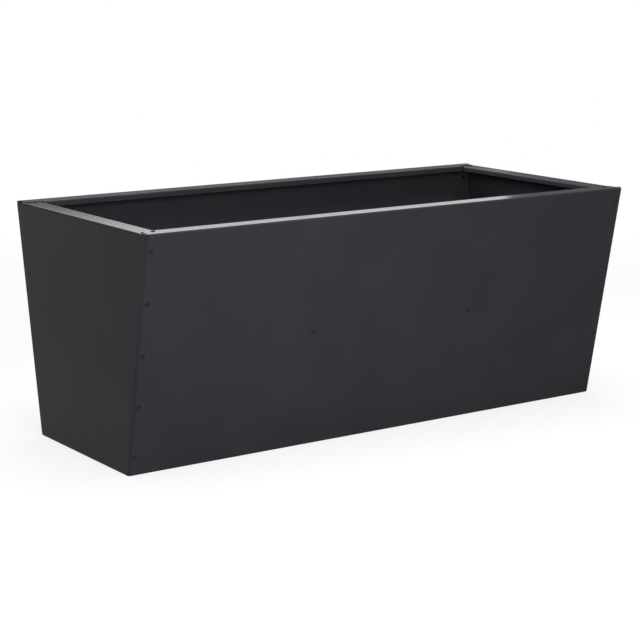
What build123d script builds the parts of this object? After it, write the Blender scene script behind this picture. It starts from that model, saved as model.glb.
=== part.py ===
from build123d import *
import os
from math import atan2, cos, hypot

# Tapered planter trough, folded from coated steel sheet and riveted together.
# +X runs along the bed, the front faces -Y, +Z is up.
# The origin is the centre of the base, on the surface that the bed stands on.
# All sizes are millimetres, and overall sizes run to the sharp corners that the folds round off.

# Overall sizes
bed_length = 1000
rim_depth = 450
base_depth = 305
bed_height = 400

# Sheet metal
sheet = 1.2
bend_inside = 1.8
fold_gap = 1

# Rim, base and corner flanges
rim_width = 35
lip_height = 10
base_flange = 20
seam_flange = 20
seam_flange_end_gap = 5

# Notches in the rim where the end panels pass under the long panels
corner_relief_length = 18
corner_relief_depth = 8
corner_ear_length = 13
tongue_tip_gap = 6

# Blind rivets. They and their holes have few sides, because there are many of them and they are small.
rivet_sides = 12
rivet_shank = 4
rivet_head = 8
rivet_head_height = 1.4
rivet_head_rim = 0.4
rivet_crown = 3.6
rivet_tail = 5.6
rivet_tail_length = 4
rivet_hole_clearance = 0.2
rivet_edge = 10
seam_rivet_count = 5
seam_rivet_from_rim = 28
seam_rivet_from_base = 33

# Cross braces
brace_spacing = 333
brace_rivet_height = 202
brace_width = 26
brace_tab = 24
brace_stiffener = 9
brace_stiffener_end_gap = 6

# Floor tray
tray_edge = 15
tray_gap = 1
tray_corner_notch = 6
drain_hole = 10
drain_columns = 6
drain_rows = 2
drain_column_pitch = 155
drain_row_pitch = 160

# Worked-out sizes
bed_half = bed_length / 2
rim_half = rim_depth / 2
base_half = base_depth / 2
bend_outside = bend_inside + sheet
lean_run = rim_half - base_half
slope_length = hypot(bed_height, lean_run)
lean = atan2(lean_run, bed_height)
sheet_across = sheet / cos(lean)
panel_half = bed_half - bend_outside
rim_inner_x = bed_half - rim_width
rim_inner_y = rim_half - rim_width
end_top = bed_height - sheet
lip_bottom = bed_height - lip_height
hole_radius = (rivet_shank + rivet_hole_clearance) / 2
grip = 2 * sheet
cut_margin = 2 * bend_outside


def half_depth(height):
    """Half the outside depth of the bed at a height above the base."""
    return base_half + lean_run * height / bed_height


def end_half_depth(height):
    """Half the depth of an end panel's flat wall, between the bends of its seam flanges."""
    return half_depth(height) - sheet_across - bend_outside / cos(lean)


# Planes on the outside of the two leaning walls: X along the bed, Y up the slope, from the rim down
lean_cos = bed_height / slope_length
lean_sin = lean_run / slope_length
front_face = Plane(origin=(0, -rim_half, bed_height), x_dir=(1, 0, 0), z_dir=(0, -lean_cos, -lean_sin))
back_face = Plane(origin=(0, rim_half, bed_height), x_dir=(-1, 0, 0), z_dir=(0, lean_cos, -lean_sin))

# Rivet places on those planes
seam_pitch = (slope_length - seam_rivet_from_rim - seam_rivet_from_base) / (seam_rivet_count - 1)
seam_rows = [-seam_rivet_from_rim - row * seam_pitch for row in range(seam_rivet_count)]
seam_column = bed_half - seam_flange + rivet_edge
plus_seam = [(seam_column, row) for row in seam_rows]
minus_seam = [(-seam_column, row) for row in seam_rows]
brace_row = (brace_rivet_height - bed_height) / cos(lean)
brace_x = brace_spacing / 2
brace_spots = [(-brace_x, brace_row), (brace_x, brace_row)]

# Rivet places on top of the rim, where the long panels' flanges lap over the end panels'
rim_face = Plane.XY.offset(bed_height)
rim_rivet_x = rim_inner_x + rivet_edge
rim_rivet_y = rim_inner_y + rivet_edge
front_rim_spots = [(-rim_rivet_x, -rim_rivet_y), (rim_rivet_x, -rim_rivet_y)]
left_rim_spots = [(-rim_rivet_x, -rim_rivet_y), (-rim_rivet_x, rim_rivet_y)]
rim_spots = [(x, y) for x in (-rim_rivet_x, rim_rivet_x) for y in (-rim_rivet_y, rim_rivet_y)]

# Front panel: one folded section, run along the bed, then notched at its ends
with BuildPart() as front_panel:
    with BuildSketch(Plane.YZ) as front_section:
        with BuildLine():
            FilletPolyline(
                (-base_half + base_flange, 0),
                (-base_half, 0),
                (-rim_half, bed_height),
                (-rim_inner_y, bed_height),
                (-rim_inner_y, lip_bottom),
                radius=bend_outside,
            )
            offset(amount=sheet, side=Side.RIGHT)
        make_face()
    extrude(amount=panel_half, both=True)

    # The rim flange is clipped on a slant at its ends, and its lip stops at the end panels' lips
    flange_edge = -rim_inner_y - bend_outside
    with BuildSketch(Plane.XY.offset(lip_bottom - cut_margin)) as rim_clip:
        with BuildLine():
            Polyline(
                (panel_half, -rim_half + bend_outside),
                (bed_half - corner_relief_depth, flange_edge),
                (rim_inner_x - fold_gap, flange_edge),
                (rim_inner_x - fold_gap, -rim_inner_y + cut_margin),
                (bed_half + cut_margin, -rim_inner_y + cut_margin),
                (bed_half + cut_margin, -rim_half + bend_outside),
                close=True,
            )
        make_face()
        mirror(about=Plane.YZ)
    extrude(amount=lip_height + 2 * cut_margin, mode=Mode.SUBTRACT)

    # The base flange is mitred against the end panels' base flanges
    with BuildSketch(Plane.XY.offset(-cut_margin)) as base_mitre:
        with BuildLine():
            Polyline(
                (bed_half - fold_gap - bend_outside, -base_half + bend_outside),
                (bed_half - fold_gap - base_flange - cut_margin, -base_half + base_flange + cut_margin),
                (bed_half + cut_margin, -base_half + base_flange + cut_margin),
                (bed_half + cut_margin, -base_half + bend_outside),
                close=True,
            )
        make_face()
        mirror(about=Plane.YZ)
    extrude(amount=cut_margin + bend_outside, mode=Mode.SUBTRACT)

    # Rivet holes: down both seams, at the braces and through the rim
    with BuildSketch(front_face) as wall_holes:
        with Locations(*plus_seam, *minus_seam, *brace_spots):
            RegularPolygon(hole_radius, rivet_sides)
    extrude(amount=-grip, mode=Mode.SUBTRACT)
    with BuildSketch(rim_face) as rim_holes:
        with Locations(*front_rim_spots):
            RegularPolygon(hole_radius, rivet_sides)
    extrude(amount=-grip, mode=Mode.SUBTRACT)
front_panel.part.label = "front_panel"

# Back panel: the same panel, facing the other way
with BuildPart() as back_panel:
    mirror(front_panel.part, about=Plane.XZ)
back_panel.part.label = "back_panel"

# Left end panel: an upright folded section cut to the taper, with a flange folded in along each slope
end_base_half = base_half - sheet_across
fold_start = end_top - bend_outside
with BuildPart() as left_end_panel:
    with BuildSketch(Plane.XZ) as end_section:
        with BuildLine():
            FilletPolyline(
                (-bed_half + base_flange, 0),
                (-bed_half, 0),
                (-bed_half, end_top),
                (-rim_inner_x, end_top),
                (-rim_inner_x, lip_bottom),
                radius=bend_outside,
            )
            offset(amount=sheet, side=Side.RIGHT)
        make_face()
    extrude(amount=rim_half, both=True)
    with BuildSketch(Plane.YZ) as end_taper:
        with BuildLine():
            Polyline(
                (-end_half_depth(0), 0),
                (-end_half_depth(bed_height), bed_height),
                (end_half_depth(bed_height), bed_height),
                (end_half_depth(0), 0),
                close=True,
            )
        make_face()
    extrude(amount=bed_length, both=True, mode=Mode.INTERSECT)

    # The flange along the front slope lies flat against the inside of the front panel
    slope_foot = Plane(
        origin=(-bed_half, -end_base_half, 0), x_dir=(1, 0, 0), z_dir=(0, -lean_sin, lean_cos)
    )
    with BuildSketch(slope_foot.offset(seam_flange_end_gap)) as seam_section:
        with BuildLine():
            FilletPolyline(
                (0, 2 * cut_margin),
                (0, 0),
                (seam_flange, 0),
                radius=bend_outside,
            )
            offset(amount=sheet, side=Side.LEFT)
        make_face()
    extrude(amount=slope_length - 2 * seam_flange_end_gap)
    mirror(about=Plane.XZ)

    # The rim fold is relieved at the corners, which leaves a tongue under each long panel's rim
    with BuildSketch(Plane.XY.offset(fold_start)) as rim_relief:
        with BuildLine():
            Polyline(
                (-bed_half - cut_margin, -rim_half + corner_relief_length),
                (-bed_half + corner_relief_depth, -rim_half + corner_relief_length),
                (-bed_half + corner_relief_depth, -rim_half + tongue_tip_gap),
                (-rim_inner_x + cut_margin, -rim_half + tongue_tip_gap),
                (-rim_inner_x + cut_margin, -rim_half),
                (-bed_half - cut_margin, -rim_half),
                close=True,
            )
        make_face()
        mirror(about=Plane.XZ)
    extrude(amount=cut_margin, mode=Mode.SUBTRACT)

    # Beside each relief the wall stays unfolded, as an ear that closes the end of the long panel's rim
    with BuildSketch(Plane.YZ.offset(-bed_half)) as corner_ear:
        with BuildLine():
            Polyline(
                (-end_half_depth(fold_start), fold_start),
                (-end_half_depth(bed_height), bed_height),
                (-rim_half + corner_ear_length, bed_height),
                (-rim_half + corner_ear_length, fold_start),
                close=True,
            )
        make_face()
        mirror(about=Plane.YZ)
    extrude(amount=sheet)

    # The lip stops where the long panels' lips pass
    with BuildSketch(Plane.XY.offset(lip_bottom - cut_margin)) as lip_end:
        with BuildLine():
            Polyline(
                (-rim_inner_x - bend_outside, -rim_half),
                (-rim_inner_x - bend_outside, -rim_inner_y + fold_gap),
                (-rim_inner_x + cut_margin, -rim_inner_y + fold_gap),
                (-rim_inner_x + cut_margin, -rim_half),
                close=True,
            )
        make_face()
        mirror(about=Plane.XZ)
    extrude(amount=lip_height + 2 * cut_margin, mode=Mode.SUBTRACT)

    # The base flange is mitred against the long panels' base flanges
    with BuildSketch(Plane.XY.offset(-cut_margin)) as end_mitre:
        with BuildLine():
            Polyline(
                (-bed_half + bend_outside, -base_half + fold_gap + bend_outside),
                (-bed_half + base_flange + cut_margin, -base_half + fold_gap + base_flange + cut_margin),
                (-bed_half + base_flange + cut_margin, -base_half),
                (-bed_half + bend_outside, -base_half),
                close=True,
            )
        make_face()
        mirror(about=Plane.XZ)
    extrude(amount=cut_margin + bend_outside, mode=Mode.SUBTRACT)

    # Rivet holes through both seam flanges and through the tongues
    with BuildSketch(front_face) as seam_holes:
        with Locations(*minus_seam):
            RegularPolygon(hole_radius, rivet_sides)
    extrude(amount=-2 * grip, mode=Mode.SUBTRACT)
    with BuildSketch(back_face) as back_seam_holes:
        with Locations(*plus_seam):
            RegularPolygon(hole_radius, rivet_sides)
    extrude(amount=-2 * grip, mode=Mode.SUBTRACT)
    with BuildSketch(rim_face) as tongue_holes:
        with Locations(*left_rim_spots):
            RegularPolygon(hole_radius, rivet_sides)
    extrude(amount=-2 * grip, mode=Mode.SUBTRACT)
left_end_panel.part.label = "left_end_panel"

# Right end panel: the left one mirrored
with BuildPart() as right_end_panel:
    mirror(left_end_panel.part, about=Plane.YZ)
right_end_panel.part.label = "right_end_panel"


def tray_half_depth(height):
    """Half the outside depth of the tray, clear of the seam flanges, at a height above the base."""
    return half_depth(height) - 2 * sheet_across - tray_gap


# Floor tray: drops in from the top and rests on the base flanges of all four panels
tray_floor = sheet
tray_top = tray_floor + tray_edge
tray_half = bed_half - sheet - tray_gap
with BuildPart() as floor_tray:
    with BuildSketch(Plane.YZ) as tray_cross_section:
        with BuildLine():
            FilletPolyline(
                (-tray_half_depth(tray_top), tray_top),
                (-tray_half_depth(tray_floor), tray_floor),
                (tray_half_depth(tray_floor), tray_floor),
                (tray_half_depth(tray_top), tray_top),
                radius=bend_outside,
            )
            offset(amount=sheet, side=Side.LEFT)
        make_face()
    extrude(amount=tray_half - tray_corner_notch, both=True)
    with BuildSketch(Plane.XZ) as tray_long_section:
        with BuildLine():
            FilletPolyline(
                (-tray_half, tray_top),
                (-tray_half, tray_floor),
                (tray_half, tray_floor),
                (tray_half, tray_top),
                radius=bend_outside,
            )
            offset(amount=sheet, side=Side.LEFT)
        make_face()
    extrude(amount=tray_half_depth(tray_floor) - tray_corner_notch, both=True)
    with BuildSketch(Plane.XY.offset(tray_floor)) as drain_holes:
        with GridLocations(drain_column_pitch, drain_row_pitch, drain_columns, drain_rows):
            Circle(drain_hole / 2)
    extrude(amount=sheet, mode=Mode.SUBTRACT)
floor_tray.part.label = "floor_tray"


def inner_half_depth(height):
    """Half the depth between the inside faces of the long walls at a height above the base."""
    return half_depth(height) - sheet_across


# Left cross brace: a channel whose end tabs are folded down against the long walls
web_top = brace_rivet_height + brace_tab / 2
tab_bottom = brace_rivet_height - brace_tab / 2
stiffener_half = inner_half_depth(web_top) - brace_stiffener_end_gap
with BuildPart() as left_cross_brace:
    with BuildSketch(Plane.YZ.offset(-brace_x)) as brace_strap:
        with BuildLine():
            FilletPolyline(
                (-inner_half_depth(tab_bottom), tab_bottom),
                (-inner_half_depth(web_top), web_top),
                (inner_half_depth(web_top), web_top),
                (inner_half_depth(tab_bottom), tab_bottom),
                radius=bend_outside,
            )
            offset(amount=sheet, side=Side.RIGHT)
        make_face()
    extrude(amount=brace_width / 2 - bend_outside, both=True)
    with BuildSketch(Plane.XZ) as brace_channel:
        with BuildLine():
            FilletPolyline(
                (-brace_x - brace_width / 2, web_top - brace_stiffener),
                (-brace_x - brace_width / 2, web_top),
                (-brace_x + brace_width / 2, web_top),
                (-brace_x + brace_width / 2, web_top - brace_stiffener),
                radius=bend_outside,
            )
            offset(amount=sheet, side=Side.RIGHT)
        make_face()
    extrude(amount=stiffener_half, both=True)
    with BuildSketch(front_face) as front_tab_hole:
        with Locations(brace_spots[0]):
            RegularPolygon(hole_radius, rivet_sides)
    extrude(amount=-2 * grip, mode=Mode.SUBTRACT)
    with BuildSketch(back_face) as back_tab_hole:
        with Locations(brace_spots[1]):
            RegularPolygon(hole_radius, rivet_sides)
    extrude(amount=-2 * grip, mode=Mode.SUBTRACT)
left_cross_brace.part.label = "left_cross_brace"

# Right cross brace: the same brace, mirrored to its own place
with BuildPart() as right_cross_brace:
    mirror(left_cross_brace.part, about=Plane.YZ)
right_cross_brace.part.label = "right_cross_brace"

# Blind rivet: crowned head on the outer sheet, shank through both sheets, formed tail behind them
head_steps = [(0, rivet_head), (rivet_head_rim, rivet_head), (rivet_head_height, rivet_crown)]
shank_steps = [(-grip, rivet_shank), (0, rivet_shank)]
tail_steps = [
    (-grip - rivet_tail_length, rivet_shank),
    (-grip - rivet_tail_length / 2, rivet_tail),
    (-grip, rivet_tail),
]
with BuildPart() as rivet:
    for steps in (head_steps, shank_steps, tail_steps):
        for height, diameter in steps:
            with BuildSketch(Plane.XY.offset(height)) as rivet_step:
                RegularPolygon(diameter / 2, rivet_sides)
        loft(ruled=True)

# Rivets in groups: one group down each corner seam, one for the braces on each side, one on the rim
rivet_groups = {
    "front_left_seam_rivets": (front_face, minus_seam),
    "front_right_seam_rivets": (front_face, plus_seam),
    "back_left_seam_rivets": (back_face, plus_seam),
    "back_right_seam_rivets": (back_face, minus_seam),
    "front_brace_rivets": (front_face, brace_spots),
    "back_brace_rivets": (back_face, brace_spots),
    "rim_corner_rivets": (rim_face, rim_spots),
}
pieces = [
    front_panel,
    back_panel,
    left_end_panel,
    right_end_panel,
    floor_tray,
    left_cross_brace,
    right_cross_brace,
]
for group_name, (face, spots) in rivet_groups.items():
    with BuildPart() as rivets:
        with Locations(face):
            with Locations(*spots):
                add(rivet.part)
    rivets.part.label = group_name
    pieces.append(rivets)

os.makedirs("parts", exist_ok=True)
for piece in pieces:
    export_step(piece.part, f"parts/{piece.part.label}.step")
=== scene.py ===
# %% [markdown]
# # A raised garden bed in folded, powder-coated sheet
#
# The object is a long planter trough. Four sheet-metal walls are folded, riveted together at
# the corners and tied across by two braces, and a perforated tray lies on the folded feet.
# The CAD model already holds those sheets in their true sizes. This script gives them their
# finish, swaps the plain rivets for turned ones, and sets up the floor, the light and the view.

import math

import bmesh
import bpy
from mathutils import Matrix, Vector


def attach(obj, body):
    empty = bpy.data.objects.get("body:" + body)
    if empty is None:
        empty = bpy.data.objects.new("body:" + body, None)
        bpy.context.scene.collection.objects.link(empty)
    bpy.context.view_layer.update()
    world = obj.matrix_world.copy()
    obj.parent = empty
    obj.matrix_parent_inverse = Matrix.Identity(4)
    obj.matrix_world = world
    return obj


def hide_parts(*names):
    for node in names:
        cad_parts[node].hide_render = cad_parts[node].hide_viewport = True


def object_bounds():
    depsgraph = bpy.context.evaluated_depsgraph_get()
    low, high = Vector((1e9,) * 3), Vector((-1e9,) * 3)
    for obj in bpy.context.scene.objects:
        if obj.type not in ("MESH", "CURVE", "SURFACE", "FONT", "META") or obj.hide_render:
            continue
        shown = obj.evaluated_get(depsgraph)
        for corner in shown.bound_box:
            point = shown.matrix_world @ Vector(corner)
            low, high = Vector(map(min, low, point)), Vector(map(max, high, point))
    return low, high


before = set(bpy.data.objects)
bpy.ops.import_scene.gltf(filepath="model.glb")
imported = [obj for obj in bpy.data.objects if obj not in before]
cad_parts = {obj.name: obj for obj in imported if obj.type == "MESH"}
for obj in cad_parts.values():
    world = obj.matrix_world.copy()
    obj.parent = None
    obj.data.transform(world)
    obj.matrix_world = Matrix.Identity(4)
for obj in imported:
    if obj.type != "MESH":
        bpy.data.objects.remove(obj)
cad_low, cad_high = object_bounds()
print("CAD nodes:", len(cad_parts))
print("size in metres:", [round(high - low, 4) for low, high in zip(cad_low, cad_high)])

# %% [markdown]
# ## The view
#
# The photograph was taken from the front left, a little above the rim, with a long lens, so
# the far edges hardly shrink. A camera can be keyed in by hand and nudged until it looks right,
# but here the corners of the bed were lined up with the picture, which gives a direction, a
# distance and a lens. The camera then stands on a sphere round the foot of the bed, slides
# sideways and upwards without turning, and is rolled by a quarter of a degree.

# %% Numbers of the view
view_azimuth = math.radians(-35.291)
view_elevation = math.radians(11.743)
view_distance = 3.2622
view_slide = -0.01512
view_lift = 0.16759
view_roll = math.radians(0.270)
focal_length_in_pixels = 1793.3
picture_width_in_pixels = 640
sensor_width = 36.0
farthest_seen = 100.0
print("view in degrees:", round(math.degrees(view_azimuth), 2),
      "round and", round(math.degrees(view_elevation), 2), "up")

# %% Stand the camera there
towards_camera = Vector((
    math.sin(view_azimuth) * math.cos(view_elevation),
    -math.cos(view_azimuth) * math.cos(view_elevation),
    math.sin(view_elevation),
))
level_right = (-towards_camera).cross(Vector((0, 0, 1))).normalized()
level_up = level_right.cross(-towards_camera)
rolled_right = level_right * math.cos(view_roll) + level_up * math.sin(view_roll)
rolled_up = level_up * math.cos(view_roll) - level_right * math.sin(view_roll)

camera_data = bpy.data.cameras.new("bed_camera")
camera_data.sensor_width = sensor_width
camera_data.lens = focal_length_in_pixels / picture_width_in_pixels * sensor_width
camera_data.clip_end = farthest_seen
camera = bpy.data.objects.new("bed_camera", camera_data)
bpy.context.scene.collection.objects.link(camera)
turn = Matrix((rolled_right, rolled_up, towards_camera)).transposed().to_4x4()
place = towards_camera * view_distance + level_right * view_slide + level_up * view_lift
camera.matrix_world = Matrix.Translation(place) @ turn
bpy.context.scene.camera = camera
print("lens in millimetres:", round(camera_data.lens, 2))
print("camera stands at:", [round(value, 3) for value in place])

# %% [markdown]
# ## A few hands for node work
#
# Materials are built from shader nodes. Each node could be placed by dragging it into the
# editor. In a script a small helper that makes a node, sets its sockets and returns it keeps
# every recipe below short enough to read in one go.

# %% Helpers for shader nodes
def add_node(tree, kind, sockets=None, **settings):
    made = tree.nodes.new(kind)
    for name, value in settings.items():
        setattr(made, name, value)
    for name, value in (sockets or {}).items():
        made.inputs[name].default_value = value
    return made


def empty_finish(name):
    finish = bpy.data.materials.new(name)
    finish.use_nodes = True
    finish.node_tree.nodes.clear()
    return finish, finish.node_tree


def speckle(tree, scale, detail, roughness=0.5):
    place_on_part = add_node(tree, "ShaderNodeTexCoord")
    noise = add_node(tree, "ShaderNodeTexNoise",
                     {"Scale": scale, "Detail": detail, "Roughness": roughness})
    tree.links.new(place_on_part.outputs["Object"], noise.inputs["Vector"])
    return noise.outputs["Fac"]


def stretch(tree, value, from_low, from_high, to_low, to_high):
    ramp = add_node(tree, "ShaderNodeMapRange",
                    {"From Min": from_low, "From Max": from_high,
                     "To Min": to_low, "To Max": to_high})
    tree.links.new(value, ramp.inputs["Value"])
    return ramp.outputs["Result"]


def calculate(tree, operation, first, second):
    step = add_node(tree, "ShaderNodeMath", operation=operation)
    for socket, value in zip(step.inputs, (first, second)):
        if isinstance(value, (int, float)):
            socket.default_value = value
        else:
            tree.links.new(value, socket)
    return step.outputs["Value"]


def blend_colours(tree, factor, first, second):
    mixer = add_node(tree, "ShaderNodeMix", data_type="RGBA")
    tree.links.new(factor, mixer.inputs["Factor"])
    for socket, value in ((mixer.inputs["A"], first), (mixer.inputs["B"], second)):
        if isinstance(value, tuple):
            socket.default_value = value
        else:
            tree.links.new(value, socket)
    return mixer.outputs["Result"]


print("node helpers ready")

# %% [markdown]
# ## Where the coat is thin, and painted edge highlights
#
# Powder shrinks back from a sharp edge while it melts, so the lip of a folded sheet shows a
# hair of paler, thinner film. The same pale line is also a painted highlight, standing in for
# the light that edges and folds catch. Such a line could be painted by hand on an unwrapped
# sheet. The Bevel node finds it by itself: it gives the normal that a rounded edge would have,
# and where that differs from the real normal there is an edge. A noise breaks the line up,
# because a real film never thins evenly.

# %% Mask of the sheet edges
edge_reach = 0.0011
edge_samples = 6
flat_agreement = 0.985
folded_agreement = 0.80
edge_line_patch_scale = 85.0


# The pale edge line this mask gives is partly thinner film and partly a painted highlight along
# edges and folds.
def thin_film_and_highlight_mask(tree, amount):
    rounded = add_node(tree, "ShaderNodeBevel", {"Radius": edge_reach}, samples=edge_samples)
    surface = add_node(tree, "ShaderNodeNewGeometry")
    agreement = add_node(tree, "ShaderNodeVectorMath", operation="DOT_PRODUCT")
    tree.links.new(rounded.outputs["Normal"], agreement.inputs[0])
    tree.links.new(surface.outputs["Normal"], agreement.inputs[1])
    edge = stretch(tree, agreement.outputs["Value"],
                   flat_agreement, folded_agreement, 0.0, 1.0)
    patchy = stretch(tree, speckle(tree, edge_line_patch_scale, 3.0), 0.35, 0.65, 0.35, 1.0)
    return calculate(tree, "MULTIPLY", calculate(tree, "MULTIPLY", edge, patchy), amount)


print("edge mask reaches", edge_reach * 1000, "mm from an edge")

# %% [markdown]
# ## The powder coat
#
# All sheets wear one smooth powder coat in a blue-black grey. On the real bed it is sprayed as
# dust and baked, which leaves three marks at three sizes: a faint cloudiness where the film
# varies in thickness, a fine pepper of pigment, and the soft dimples called orange peel. One
# image could not hold all three at a true scale over a metre of sheet, so each is a noise of
# its own in object coordinates. Colour takes the first two, roughness the cloudiness, and the
# bump the dimples. What is the same everywhere is set on the shader itself. The mirror of the
# coat is kept weak, because the white floor would wash the walls out otherwise.

# %% Recipe for the powder coat
cloud_scale = 7.0
pepper_scale = 1500.0
pepper_strength = 0.22
dimple_scale = 620.0
grain_scale = 2100.0
grain_share = 0.25
coat_bump_strength = 0.6
coat_reflectance = 0.07
coat_ior = 1.32


def powder_coat(name, dark, pale, film_and_highlight_tone, smooth=0.13, dull=0.19,
                film_and_highlight_amount=0.30, dimple_depth=0.00004):
    finish, tree = empty_finish(name)
    cloud = speckle(tree, cloud_scale, 4.0, 0.55)
    pepper = speckle(tree, pepper_scale, 1.0)
    film = stretch(tree, cloud, 0.32, 0.68, 0.0, 1.0)
    grit = stretch(tree, pepper, 0.30, 0.70, -pepper_strength, pepper_strength)
    tone = calculate(tree, "ADD", film, grit)
    colour = blend_colours(tree, tone, dark, pale)
    # Paler sheet edges: partly thinner film, partly a painted highlight.
    colour = blend_colours(tree, thin_film_and_highlight_mask(tree, film_and_highlight_amount), colour, film_and_highlight_tone)

    roughness = stretch(tree, cloud, 0.30, 0.70, smooth, dull)
    dimples = speckle(tree, dimple_scale, 1.5)
    grain = speckle(tree, grain_scale, 0.0)
    relief = calculate(tree, "ADD", dimples, calculate(tree, "MULTIPLY", grain, grain_share))
    bump = add_node(tree, "ShaderNodeBump",
                    {"Strength": coat_bump_strength, "Distance": dimple_depth})
    tree.links.new(relief, bump.inputs["Height"])

    shader = add_node(tree, "ShaderNodeBsdfPrincipled",
                      {"IOR": coat_ior, "Specular IOR Level": coat_reflectance})
    tree.links.new(colour, shader.inputs["Base Color"])
    tree.links.new(roughness, shader.inputs["Roughness"])
    tree.links.new(bump.outputs["Normal"], shader.inputs["Normal"])
    output = add_node(tree, "ShaderNodeOutputMaterial")
    tree.links.new(shader.outputs["BSDF"], output.inputs["Surface"])
    return finish


print("orange peel dimples every", round(1000 / dimple_scale, 2), "mm")

# %% [markdown]
# ## Coats for the walls, the tray and the braces
#
# The walls, the tray and the braces are painted before they are riveted, each on its own hook,
# so their coats are sisters and not twins. The walls are the smoothest. The tray lies flat in
# the oven and comes out a shade duller, and the narrow braces catch a thicker, darker film.
# A CAD piece keeps its mesh, and only what is in its material slots is exchanged.

# %% Mix the three coats
# Each coat's pale edge tone is partly thinner film and partly a painted highlight along edges
# and folds.
wall_finish = powder_coat(
    "wall_powder_coat",
    dark=(0.0335, 0.0345, 0.0395, 1.0),
    pale=(0.0395, 0.0405, 0.0455, 1.0),
    film_and_highlight_tone=(0.095, 0.098, 0.105, 1.0),
)
tray_finish = powder_coat(
    "tray_powder_coat",
    dark=(0.0320, 0.0330, 0.0370, 1.0),
    pale=(0.0400, 0.0410, 0.0450, 1.0),
    film_and_highlight_tone=(0.090, 0.092, 0.098, 1.0),
    smooth=0.36,
    dull=0.48,
)
brace_finish = powder_coat(
    "brace_powder_coat",
    dark=(0.0270, 0.0280, 0.0325, 1.0),
    pale=(0.0330, 0.0340, 0.0390, 1.0),
    film_and_highlight_tone=(0.095, 0.098, 0.105, 1.0),
    smooth=0.30,
    dull=0.40,
    film_and_highlight_amount=0.40,
)
coat_of_slot = {
    "wall_coat": wall_finish,
    "tray_coat": tray_finish,
    "brace_coat": brace_finish,
}
print("coats mixed:", [finish.name for finish in coat_of_slot.values()])

# %% Put the coats on the folded sheets
sheet_pieces = {
    "front_panel": "wall_coat",
    "back_panel": "wall_coat",
    "left_end_panel": "wall_coat",
    "right_end_panel": "wall_coat",
    "floor_tray": "tray_coat",
    "left_cross_brace": "brace_coat",
    "right_cross_brace": "brace_coat",
}
for sheet_name, slot_name in sheet_pieces.items():
    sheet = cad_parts[sheet_name]
    for material_slot in sheet.material_slots:
        material_slot.material = coat_of_slot[slot_name]
    print(sheet_name, "wears", coat_of_slot[slot_name].name)

# %% [markdown]
# ## Blind rivets
#
# The corners and braces are held by blind rivets. Each has a low domed head with a dimple in
# the middle, where the steel pin that set it broke off, a shank through both sheets, and a
# swollen tail behind them with the round end of the pin in it. A rivet could be pieced
# together from spheres and cylinders, but it is a turned part, so it is one outline carried
# round an axis. Heights count from the face of the sheet, in millimetres, and the shank is as
# long as the two sheets are thick.

# %% Outline of one rivet
mm = 0.001
head_height = 1.4
tail_length = 4.0
two_sheets = 2.4


def rivet_outline(grip):
    pin_in_head = [(0.0, 1.02), (0.45, 1.00), (0.80, 0.92), (0.95, 0.78)]
    head = [
        (1.00, 0.78), (1.10, 1.18), (1.25, 1.32), (1.60, head_height), (2.10, 1.37),
        (2.70, 1.22), (3.20, 0.98), (3.60, 0.68), (3.86, 0.38), (3.96, 0.16), (3.92, 0.0),
    ]
    shank = [(2.0, 0.0), (2.0, -grip)]
    tail = [
        (2.35, -grip - 0.03), (2.68, -grip - 0.40), (2.78, -grip - 1.00),
        (2.70, -grip - 1.70), (2.40, -grip - 2.40), (2.05, -grip - 2.90), (1.85, -grip - 3.20),
    ]
    pin_in_tail = [
        (1.55, -grip - 3.25), (1.60, -grip - 3.55), (1.35, -grip - 3.85),
        (0.80, -grip - tail_length), (0.0, -grip - tail_length),
    ]
    return pin_in_head + head + shank + tail + pin_in_tail


print("points in the outline:", len(rivet_outline(two_sheets)))

# %% [markdown]
# ## Finding the rivet holes
#
# The CAD model knows where every rivet sits, but it keeps five of them in one mesh. Typing the
# places in again would leave two sets of numbers to disagree later. Here the mesh is split
# into its loose parts, and each part gives the middle of one rivet and how far it reaches
# along its axis, from the end of the tail to the crown of the head.

# %% Measure the rivets of a CAD piece
weld_distance = 1e-6


def part_middle(part):
    return sum(part, Vector()) / len(part)


def loose_parts(node_name):
    rivets = bmesh.new()
    rivets.from_mesh(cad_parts[node_name].data)
    bmesh.ops.remove_doubles(rivets, verts=rivets.verts, dist=weld_distance)
    waiting = set(rivets.verts)
    parts = []
    while waiting:
        front = [waiting.pop()]
        found = []
        while front:
            corner = front.pop()
            found.append(corner.co.copy())
            for edge in corner.link_edges:
                other = edge.other_vert(corner)
                if other in waiting:
                    waiting.remove(other)
                    front.append(other)
        parts.append(found)
    rivets.free()
    return sorted(parts, key=lambda part: tuple(round(value, 4) for value in part_middle(part)))


def seat_and_grip(part, outward):
    reach = [corner.dot(outward) for corner in part]
    middle = part_middle(part)
    on_axis = middle - outward * middle.dot(outward)
    seat = on_axis + outward * (max(reach) - head_height * mm)
    grip = (max(reach) - min(reach)) / mm - head_height - tail_length
    return seat, grip


print("rivets at one corner:", len(loose_parts("front_left_seam_rivets")))

# %% [markdown]
# ## Which way each row faces
#
# The two long walls lean outwards by about ten degrees, so their rivets point slightly down.
# A column of rivets runs straight up such a wall. The line from its lowest rivet to its highest
# is therefore the slope of the wall, and a quarter turn from it is the way the heads face. The
# rivets in the corners of the rim point straight up.

# %% Directions of the rivet heads
def wall_outward(column_name, side):
    middles = [part_middle(part) for part in loose_parts(column_name)]
    middles.sort(key=lambda middle: middle.z)
    rise = (middles[-1] - middles[0]).normalized()
    return Vector((0, side * rise.z, -side * rise.y))


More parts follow.
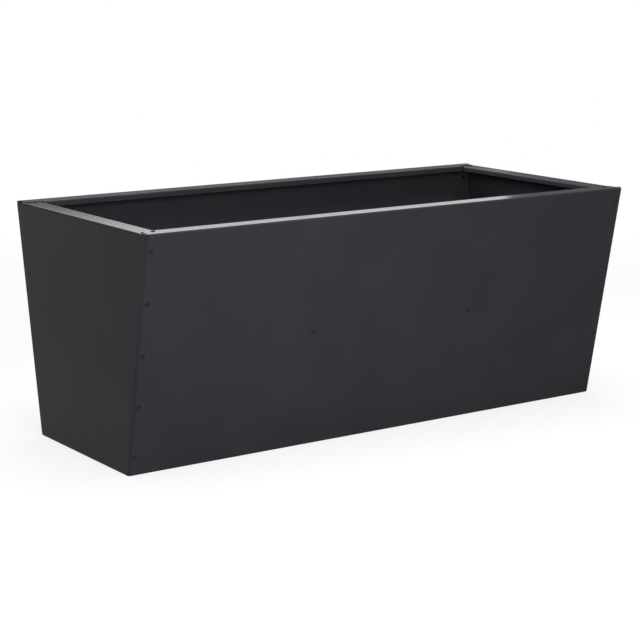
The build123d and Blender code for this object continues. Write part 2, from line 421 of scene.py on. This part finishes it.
out_of_front = wall_outward("front_left_seam_rivets", -1)
out_of_back = wall_outward("back_left_seam_rivets", 1)
straight_up = Vector((0, 0, 1))
rivet_rows = {
    "front_left_seam_rivets": out_of_front,
    "front_right_seam_rivets": out_of_front,
    "back_left_seam_rivets": out_of_back,
    "back_right_seam_rivets": out_of_back,
    "front_brace_rivets": out_of_front,
    "back_brace_rivets": out_of_back,
    "rim_corner_rivets": straight_up,
}
print("front wall leans by", round(math.degrees(math.asin(-out_of_front.z)), 2), "degrees")

# %% [markdown]
# ## Finish of the rivets
#
# Rivets of such a kit are lacquered black. The lacquer is darker and glossier than powder, so
# each head is a dark dot that catches a small light. The broken pin in the middle is blackened
# steel, duller and slightly brown. Both get the same small recipe, without orange peel.

# %% Mix the lacquer and the steel
blotch_scale = 240.0
scuff_scale = 900.0
scuff_depth = 0.00003
scuff_bump_strength = 0.5


def turned_metal(name, dark, pale, gloss_low, gloss_high, metallic, reflectance):
    finish, tree = empty_finish(name)
    blotch = stretch(tree, speckle(tree, blotch_scale, 3.0), 0.3, 0.7, 0.0, 1.0)
    scuff = speckle(tree, scuff_scale, 2.0)
    colour = blend_colours(tree, blotch, dark, pale)
    roughness = stretch(tree, scuff, 0.3, 0.7, gloss_low, gloss_high)
    bump = add_node(tree, "ShaderNodeBump",
                    {"Strength": scuff_bump_strength, "Distance": scuff_depth})
    tree.links.new(scuff, bump.inputs["Height"])
    shader = add_node(tree, "ShaderNodeBsdfPrincipled",
                      {"Metallic": metallic, "Specular IOR Level": reflectance})
    tree.links.new(colour, shader.inputs["Base Color"])
    tree.links.new(roughness, shader.inputs["Roughness"])
    tree.links.new(bump.outputs["Normal"], shader.inputs["Normal"])
    output = add_node(tree, "ShaderNodeOutputMaterial")
    tree.links.new(shader.outputs["BSDF"], output.inputs["Surface"])
    return finish


rivet_lacquer = turned_metal(
    "rivet_lacquer",
    dark=(0.0040, 0.0042, 0.0048, 1.0),
    pale=(0.0075, 0.0078, 0.0090, 1.0),
    gloss_low=0.10,
    gloss_high=0.17,
    metallic=0.0,
    reflectance=0.20,
)
pin_steel = turned_metal(
    "rivet_pin_steel",
    dark=(0.010, 0.0095, 0.009, 1.0),
    pale=(0.024, 0.023, 0.022, 1.0),
    gloss_low=0.30,
    gloss_high=0.46,
    metallic=1.0,
    reflectance=0.50,
)
print("finishes:", rivet_lacquer.name, pin_steel.name)

# %% [markdown]
# ## Turning the rivets
#
# The outline is carried round the axis in short steps, ring after ring, and closed with fans
# at its two ends. Faces of the pin get the steel, all others the lacquer. Smooth shading hides
# the steps, while edges that are really sharp, such as the one under the head, stay sharp.

# %% Turn one row of rivets
steps_round = 32
pin_radius = 0.96
pin_tail_points = 5
sharp_edge_angle = math.radians(50)


def ring_frame(outward):
    across = outward.cross(Vector((1, 0, 0))).normalized()
    return across, outward.cross(across)


def turn_rivet(row, seat, grip, outward):
    across, along = ring_frame(outward)
    outline = rivet_outline(grip)
    rings = []
    for radius, height in outline:
        middle = seat + outward * height * mm
        if radius == 0.0:
            rings.append([row.verts.new(middle)])
            continue
        ring = []
        for step in range(steps_round):
            angle = math.tau * step / steps_round
            spoke = across * math.cos(angle) + along * math.sin(angle)
            ring.append(row.verts.new(middle + spoke * radius * mm))
        rings.append(ring)
    for index in range(len(rings) - 1):
        upper, lower = rings[index], rings[index + 1]
        widest = max(outline[index][0], outline[index + 1][0])
        of_pin = widest < pin_radius or index >= len(rings) - pin_tail_points
        for step in range(steps_round):
            after = (step + 1) % steps_round
            if len(upper) == 1:
                corners = (upper[0], lower[step], lower[after])
            elif len(lower) == 1:
                corners = (upper[step], lower[0], upper[after])
            else:
                corners = (upper[step], lower[step], lower[after], upper[after])
            face = row.faces.new(corners)
            face.smooth = True
            face.material_index = 1 if of_pin else 0


def rivet_row(node_name, outward):
    row = bmesh.new()
    for part in loose_parts(node_name):
        seat, grip = seat_and_grip(part, outward)
        turn_rivet(row, seat, grip, outward)
    bmesh.ops.recalc_face_normals(row, faces=row.faces)
    mesh = bpy.data.meshes.new("turned_" + node_name)
    row.to_mesh(mesh)
    row.free()
    mesh.materials.append(rivet_lacquer)
    mesh.materials.append(pin_steel)
    mesh.set_sharp_from_angle(angle=sharp_edge_angle)
    piece = bpy.data.objects.new("turned_" + node_name, mesh)
    bpy.context.scene.collection.objects.link(piece)
    return piece


print("faces in one rivet:", (len(rivet_outline(two_sheets)) - 1) * steps_round)

# %% Turn every row and let it stand for the CAD rivets
for row_name, row_outward in rivet_rows.items():
    turned_row = rivet_row(row_name, row_outward)
    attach(turned_row, "root")
    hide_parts(row_name)
    print(turned_row.name, "has", len(turned_row.data.polygons), "faces")

# %% [markdown]
# ## The floor
#
# The bed stands on a plain white floor that fills the picture. A large disc is enough, because
# the camera looks slightly down and never sees its end. Paper that is lit by lamps alone goes
# grey where their light ends. So rays that come straight from the camera, from a gloss or
# through glass see a white of strength one, and near the bed a share of the lit paper too,
# which keeps the soft shadow. Rays of scattered light see a greyer paper, so that little light
# bounces from the floor up the walls.

# %% Lay the floor
floor_radius = 45.0
floor_sides = 96

floor_mesh = bpy.data.meshes.new("studio_floor")
floor_edge = [
    (floor_radius * math.cos(math.tau * side / floor_sides),
     floor_radius * math.sin(math.tau * side / floor_sides), cad_low.z)
    for side in range(floor_sides)
]
floor_mesh.from_pydata(floor_edge, [], [tuple(range(floor_sides))])
studio_floor = bpy.data.objects.new("studio_floor", floor_mesh)
bpy.context.scene.collection.objects.link(studio_floor)
print("floor radius in metres:", floor_radius)

# %% Colour of the paper
fibre_scale = 9.0
paper_for_scattered_rays = ((0.34, 0.34, 0.34, 1.0), (0.38, 0.38, 0.38, 1.0))
paper_for_seen_rays = (0.95, 0.95, 0.95, 1.0)

floor_paper, floor_tree = empty_finish("white_paper")
ray = add_node(floor_tree, "ShaderNodeLightPath")
direct = calculate(floor_tree, "MAXIMUM",
                   ray.outputs["Is Camera Ray"], ray.outputs["Is Glossy Ray"])
seen = calculate(floor_tree, "MAXIMUM", direct, ray.outputs["Is Transmission Ray"])
fibre = stretch(floor_tree, speckle(floor_tree, fibre_scale, 3.0), 0.3, 0.7, 0.0, 1.0)
bounced_paper = blend_colours(floor_tree, fibre, *paper_for_scattered_rays)
paper_colour = blend_colours(floor_tree, seen, bounced_paper, paper_for_seen_rays)
lit_paper = add_node(floor_tree, "ShaderNodeBsdfDiffuse")
floor_tree.links.new(paper_colour, lit_paper.inputs["Color"])
print("paper seen directly:", paper_for_seen_rays[:3])

# %% White for the rays that are seen
shadow_share = 0.22
shadow_near = 0.9
shadow_far = 2.2
white_strength = 1.0
floor_place = add_node(floor_tree, "ShaderNodeTexCoord")
from_middle = add_node(floor_tree, "ShaderNodeVectorMath", operation="LENGTH")
floor_tree.links.new(floor_place.outputs["Object"], from_middle.inputs[0])
lit_share = stretch(floor_tree, from_middle.outputs["Value"],
                    shadow_near, shadow_far, shadow_share, 0.0)
unlit_share = calculate(floor_tree, "SUBTRACT", 1.0, lit_share)
white_share = calculate(floor_tree, "MULTIPLY", seen, unlit_share)
plain_white = add_node(floor_tree, "ShaderNodeEmission",
                       {"Color": (1, 1, 1, 1), "Strength": white_strength})
paper_mix = add_node(floor_tree, "ShaderNodeMixShader")
floor_tree.links.new(white_share, paper_mix.inputs["Fac"])
floor_tree.links.new(lit_paper.outputs["BSDF"], paper_mix.inputs[1])
floor_tree.links.new(plain_white.outputs["Emission"], paper_mix.inputs[2])
floor_output = add_node(floor_tree, "ShaderNodeOutputMaterial")
floor_tree.links.new(paper_mix.outputs["Shader"], floor_output.inputs["Surface"])
floor_mesh.materials.append(floor_paper)
print("share of lit paper near the bed:", shadow_share)

# %% [markdown]
# ## Soft studio light
#
# In the photograph the near rim shines and fades towards the far right corner, while the walls
# keep an even tone. Four soft boxes explain that. A large one hangs overhead and looks into the
# bed. One stands in front, a little left of the middle, so the front panel darkens to the
# right. A dim one at the left reaches the inside of the right end. A long low one stands close
# behind the bed, where the near rim mirrors it and the far rim hardly does. One bright sun
# would be simpler, but it would draw hard shadows. Each lamp is given by its glow, because its
# power then follows from its size.

# %% Hang the soft boxes
def soft_box(name, centre, aim, width, height, glow):
    lamp_data = bpy.data.lights.new(name, "AREA")
    lamp_data.shape = "RECTANGLE"
    lamp_data.size = width
    lamp_data.size_y = height
    lamp_data.energy = glow * math.pi * width * height
    lamp = bpy.data.objects.new(name, lamp_data)
    bpy.context.scene.collection.objects.link(lamp)
    lamp.location = centre
    lamp.rotation_euler = (Vector(aim) - Vector(centre)).to_track_quat("-Z", "Y").to_euler()
    lamp.visible_camera = False
    print(name, "takes", round(lamp_data.energy, 1), "watts")


soft_box("overhead_box", centre=(0.1, -0.1, 2.3), aim=(0.1, 0.0, 0.0),
         width=1.6, height=1.6, glow=4.6)
soft_box("front_box", centre=(-0.6, -1.55, 0.85), aim=(-0.2, 0.0, 0.25),
         width=0.8, height=0.8, glow=8.2)
soft_box("left_box", centre=(-1.9, 0.3, 1.7), aim=(0.3, 0.0, 0.3),
         width=0.9, height=0.9, glow=0.9)
soft_box("back_box", centre=(0.26, 0.55, 0.76), aim=(0.2, -0.6, 0.52),
         width=1.3, height=0.5, glow=2.2)

# %% [markdown]
# ## Fill from the sky
#
# A grey sky fills what the lamps miss. It is dim low down, which is what the rim mirrors at
# this low view, and lighter overhead. An even sky would make every rim equally pale. A thin
# white band right at the horizon carries on where the paper ends, so that a lower view also
# has a white background.

# %% Sky that lightens upwards
low_sky = (0.10, 0.10, 0.105, 1.0)
high_sky = (0.45, 0.45, 0.46, 1.0)
white_band = (1.0, 1.0, 1.0, 1.0)
band_full_height = 0.022
band_end_height = 0.028
low_sky_height = 0.05
high_sky_height = 0.6

sky = bpy.data.worlds.new("studio_sky")
bpy.context.scene.world = sky
sky.use_nodes = True
sky_tree = sky.node_tree
sky_tree.nodes.clear()
sky_place = add_node(sky_tree, "ShaderNodeTexCoord")
sky_height = add_node(sky_tree, "ShaderNodeSeparateXYZ")
sky_tree.links.new(sky_place.outputs["Generated"], sky_height.inputs["Vector"])
sky_rise = stretch(sky_tree, sky_height.outputs["Z"], low_sky_height, high_sky_height, 0.0, 1.0)
upper_sky = blend_colours(sky_tree, sky_rise, low_sky, high_sky)
above_band = stretch(sky_tree, sky_height.outputs["Z"],
                     band_full_height, band_end_height, 0.0, 1.0)
sky_colour = blend_colours(sky_tree, above_band, white_band, upper_sky)
sky_glow = add_node(sky_tree, "ShaderNodeBackground", {"Strength": 1.0})
sky_tree.links.new(sky_colour, sky_glow.inputs["Color"])
sky_output = add_node(sky_tree, "ShaderNodeOutputWorld")
sky_tree.links.new(sky_glow.outputs["Background"], sky_output.inputs["Surface"])
print("sky strength:", sky_glow.inputs["Strength"].default_value)

# %% [markdown]
# ## Plain tones
#
# The picture is shown without a film look, so that a colour comes out as it was written.

# %% Colour handling
bpy.context.scene.view_settings.view_transform = "Standard"
